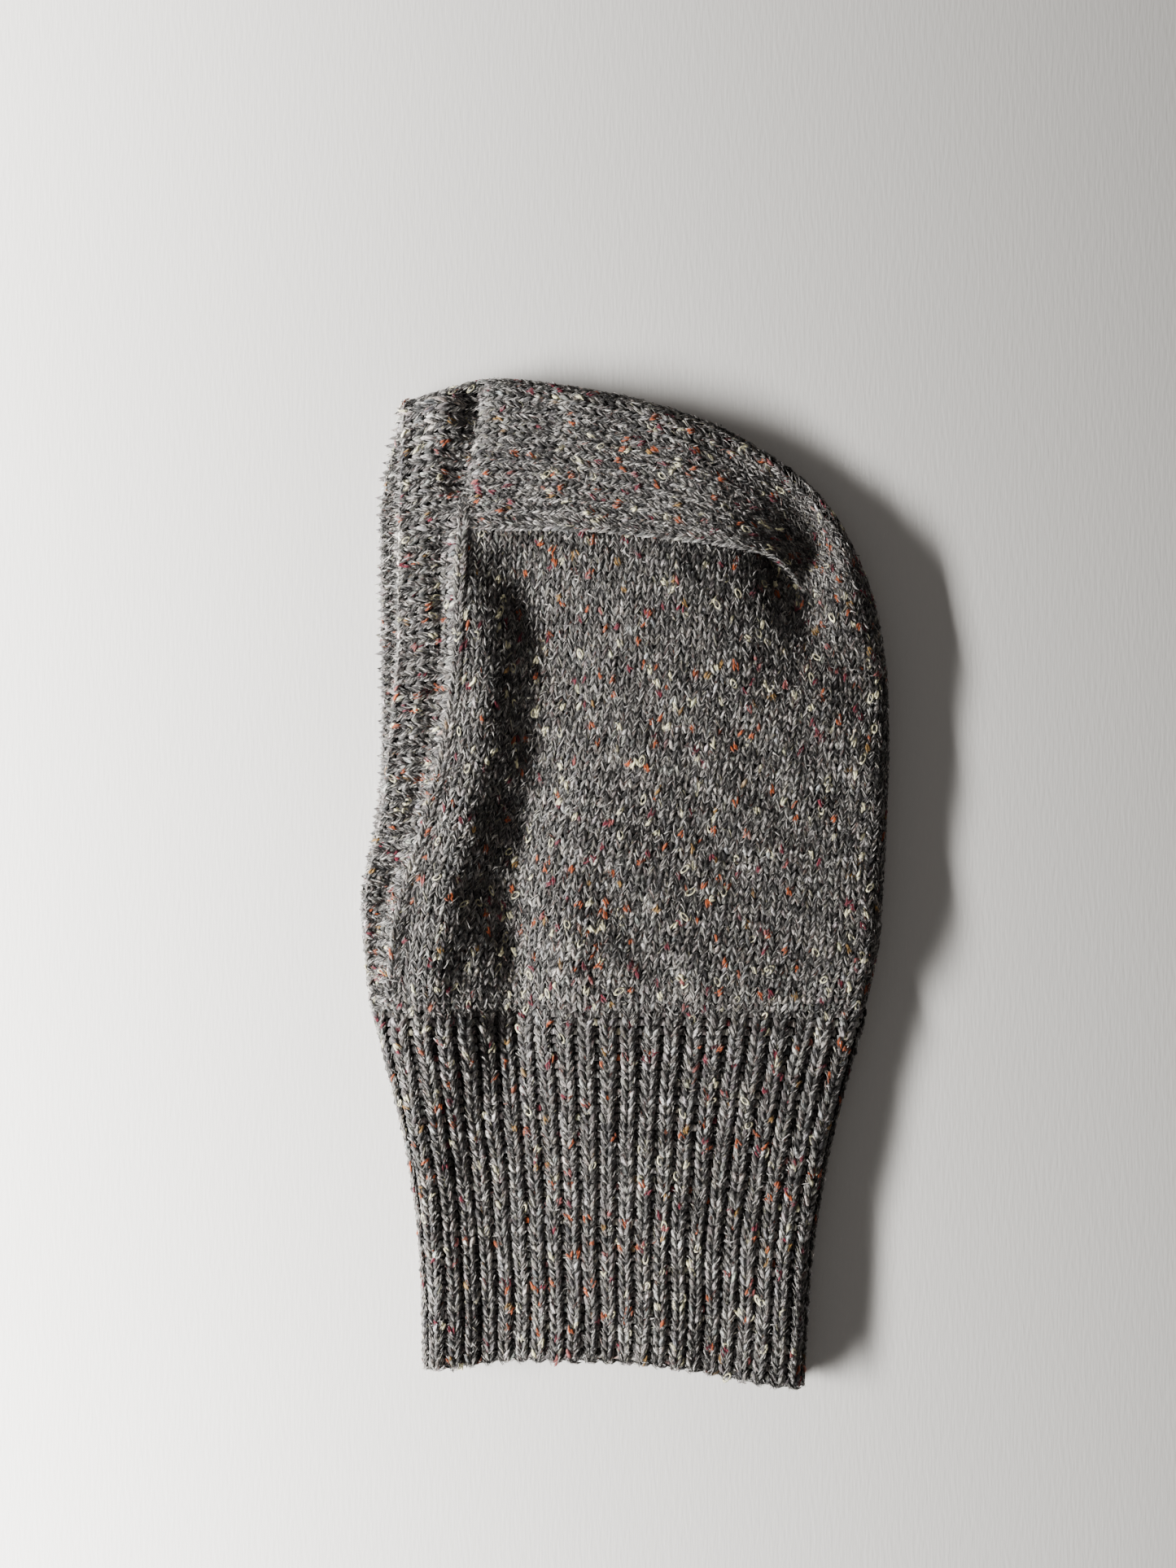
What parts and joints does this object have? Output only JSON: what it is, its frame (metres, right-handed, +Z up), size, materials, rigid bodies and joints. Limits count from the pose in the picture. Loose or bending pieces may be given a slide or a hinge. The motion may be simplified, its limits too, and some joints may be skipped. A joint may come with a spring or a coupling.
{
  "type": "knitted hood with ribbed neck",
  "caption": "Knitted tweed-yarn hood laid flat, with a ribbed face band, a crown panel and a long ribbed neck to pull on over the head.",
  "frame": {"origin": "centre of the bounding box on the flat underside, on the surface that the hood lies on", "axes": "+Z up from the surface, +Y from the neck hem to the crown, +X from the face opening to the back of the head"},
  "size_m": [0.2282, 0.4332, 0.018],
  "materials": {
    "tweed_wool": "knitted, brushed and fuzzy",
    "seam_wool": "knitted chain"
  },
  "bodies": {
    "root": {"neck_rib": "tweed_wool", "neck_cast_on_edge": "seam_wool", "hood_body": "tweed_wool", "crown_panel": "tweed_wool", "left_crown_seam": "seam_wool", "right_crown_seam": "seam_wool", "face_band": "tweed_wool", "face_band_seam": "seam_wool", "face_band_cast_off_edge": "seam_wool"}
  },
  "joints": []
}
